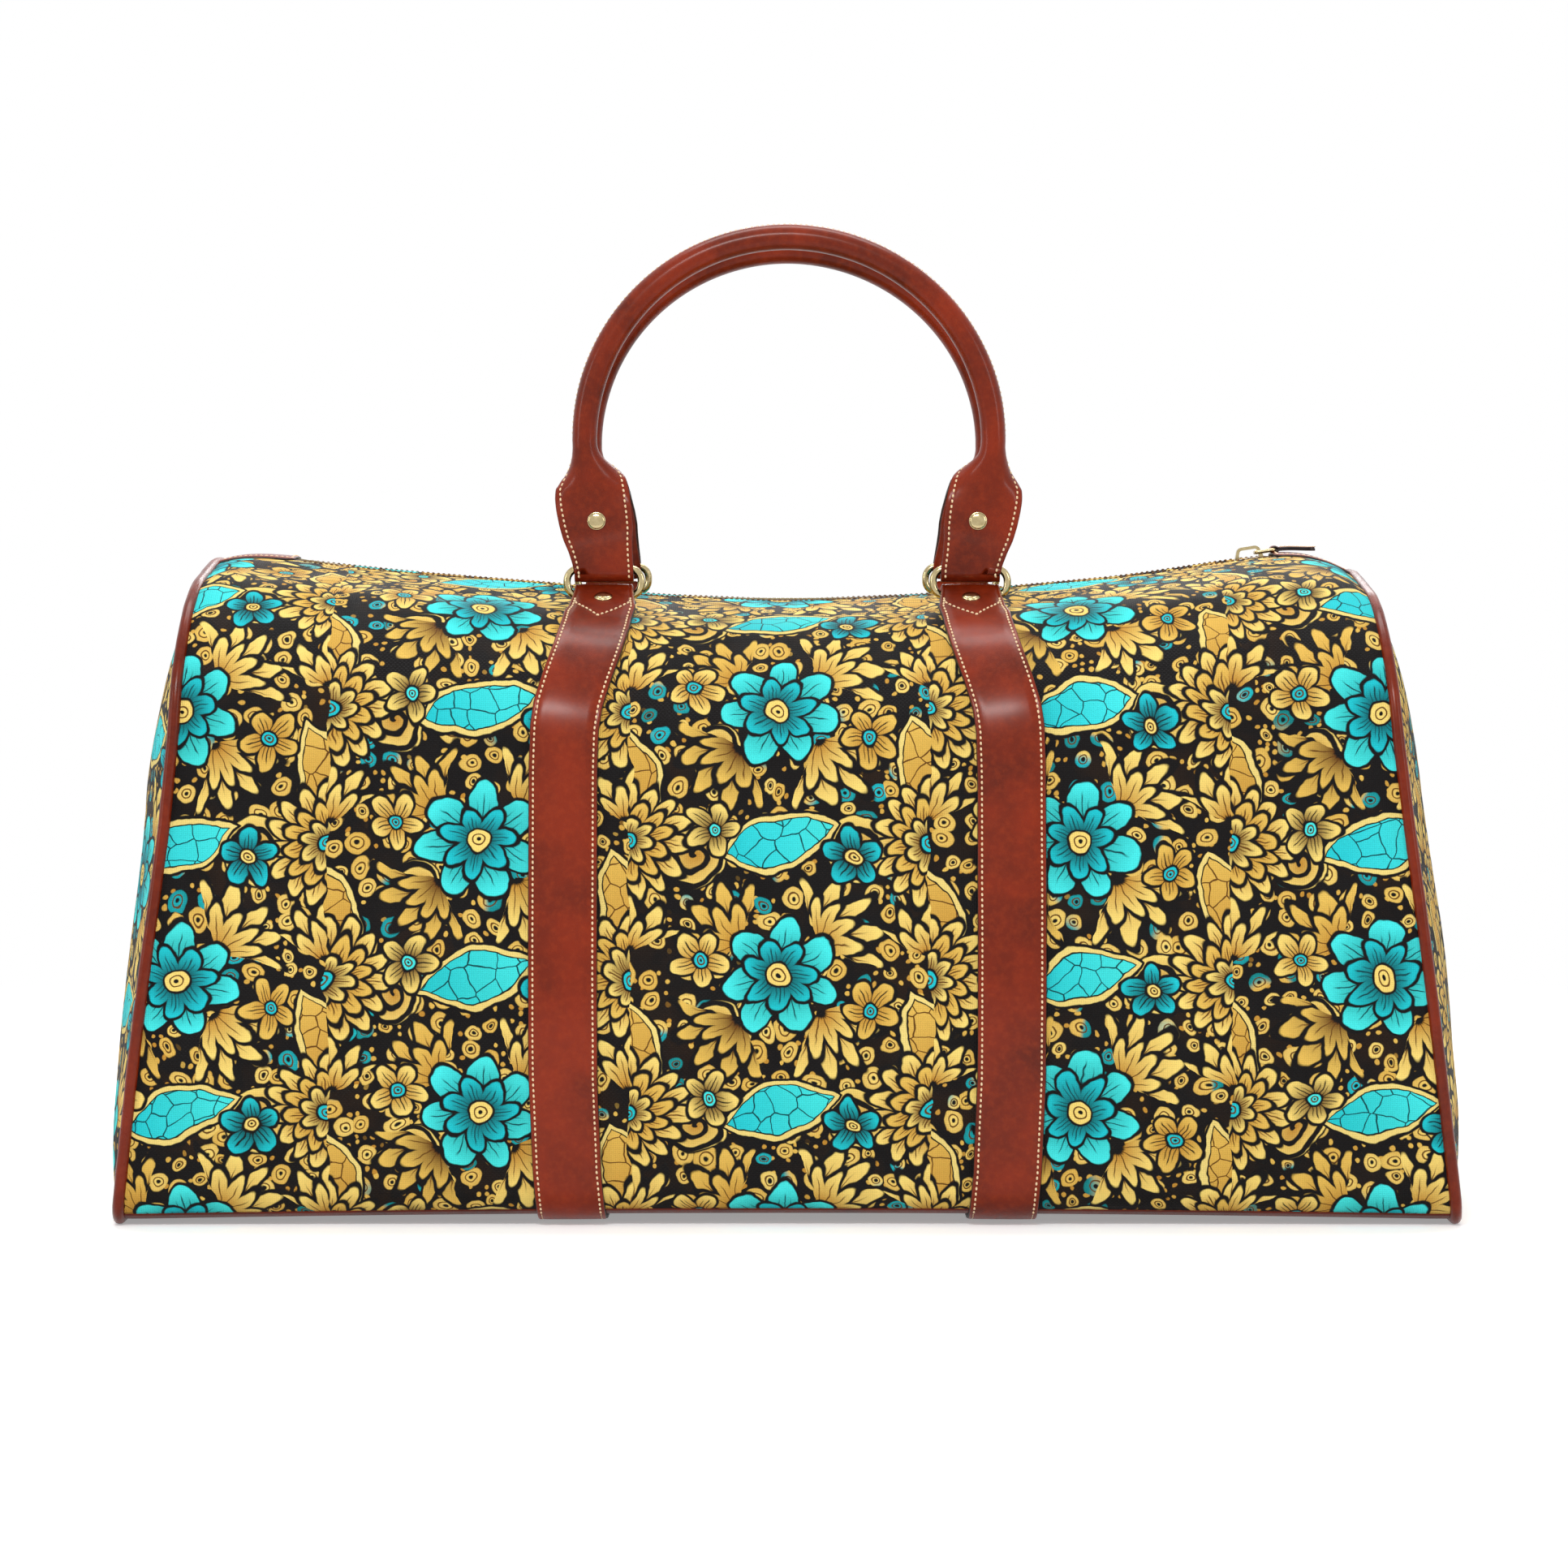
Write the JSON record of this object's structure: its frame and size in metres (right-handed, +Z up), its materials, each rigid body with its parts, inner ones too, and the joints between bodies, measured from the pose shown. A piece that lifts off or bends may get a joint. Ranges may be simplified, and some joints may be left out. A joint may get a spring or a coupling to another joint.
{
  "type": "travel bag",
  "caption": "Weekend travel bag of printed canvas with leather straps, piping, two rolled handles on oval rings and a top zip.",
  "frame": {"origin": "centre of the bag's footprint, on the surface it stands on", "axes": "+X along the bag to the right as seen from the front, -Y to the front, +Z up"},
  "size_m": [0.5518, 0.2492, 0.3974],
  "materials": {
    "printed_canvas": "woven, printed",
    "brown_leather": "smooth, polished",
    "zip_tape": "woven",
    "pale_gold_metal": "polished"
  },
  "bodies": {
    "bag": {"front_panel": "printed_canvas", "rear_panel": "printed_canvas", "end_panel_left": "printed_canvas", "end_panel_right": "printed_canvas", "base_panel": "brown_leather", "piping_left": "brown_leather", "piping_right": "brown_leather", "strap_left": "brown_leather", "strap_right": "brown_leather", "zip_end_tab_left": "brown_leather", "zip_end_tab_right": "brown_leather", "zip_tape_front": "zip_tape", "zip_tape_rear": "zip_tape", "zip_teeth_front": "pale_gold_metal", "zip_teeth_rear": "pale_gold_metal", "strap_rivet_front_left": "pale_gold_metal", "strap_rivet_front_right": "pale_gold_metal", "strap_rivet_rear_left": "pale_gold_metal", "strap_rivet_rear_right": "pale_gold_metal"},
    "ring_front_left": {"ring_front_left": "pale_gold_metal"},
    "ring_front_right": {"ring_front_right": "pale_gold_metal"},
    "handle_front": {"handle_front": "brown_leather", "handle_rivet_front_left": "pale_gold_metal", "handle_rivet_front_right": "pale_gold_metal"},
    "ring_rear_left": {"ring_rear_left": "pale_gold_metal"},
    "ring_rear_right": {"ring_rear_right": "pale_gold_metal"},
    "handle_rear": {"handle_rear": "brown_leather", "handle_rivet_rear_left": "pale_gold_metal", "handle_rivet_rear_right": "pale_gold_metal"},
    "zip_slider": {"zip_slider": "pale_gold_metal"},
    "zip_pull": {"zip_pull": "pale_gold_metal", "zip_pull_tab": "brown_leather"}
  },
  "joints": [
    {"name": "front_ring_left_swing", "type": "hinge", "parent": "bag", "child": "ring_front_left", "pos_m": [-0.074, -0.052, 0.24773], "axis": [1, 0, 0], "range_deg": [-10, 40]},
    {"name": "front_ring_right_swing", "type": "hinge", "parent": "bag", "child": "ring_front_right", "pos_m": [0.074, -0.052, 0.24773], "axis": [1, 0, 0], "range_deg": [-10, 40]},
    {"name": "front_handle_swing", "type": "hinge", "parent": "ring_front_left", "child": "handle_front", "pos_m": [-0.074, -0.052, 0.25872], "axis": [1, 0, 0], "range_deg": [-8, 75]},
    {"name": "rear_ring_left_swing", "type": "hinge", "parent": "bag", "child": "ring_rear_left", "pos_m": [-0.074, 0.052, 0.24773], "axis": [-1, 0, 0], "range_deg": [-10, 40]},
    {"name": "rear_ring_right_swing", "type": "hinge", "parent": "bag", "child": "ring_rear_right", "pos_m": [0.074, 0.052, 0.24773], "axis": [-1, 0, 0], "range_deg": [-10, 40]},
    {"name": "rear_handle_swing", "type": "hinge", "parent": "ring_rear_left", "child": "handle_rear", "pos_m": [-0.074, 0.052, 0.25872], "axis": [-1, 0, 0], "range_deg": [-8, 75]},
    {"name": "zip_travel", "type": "hinge", "parent": "bag", "child": "zip_slider", "pos_m": [0, 0, 1.496], "axis": [0, 1, 0], "range_deg": [0, 17.5]},
    {"name": "zip_pull_flip", "type": "hinge", "parent": "zip_slider", "child": "zip_pull", "pos_m": [0.1944, 0, 0.26495], "axis": [0, -1, 0], "range_deg": [0, 130]}
  ],
  "couplings": [
    {"joint": "front_ring_right_swing", "follows": "front_ring_left_swing", "ratio": 1},
    {"joint": "rear_ring_right_swing", "follows": "rear_ring_left_swing", "ratio": 1}
  ]
}
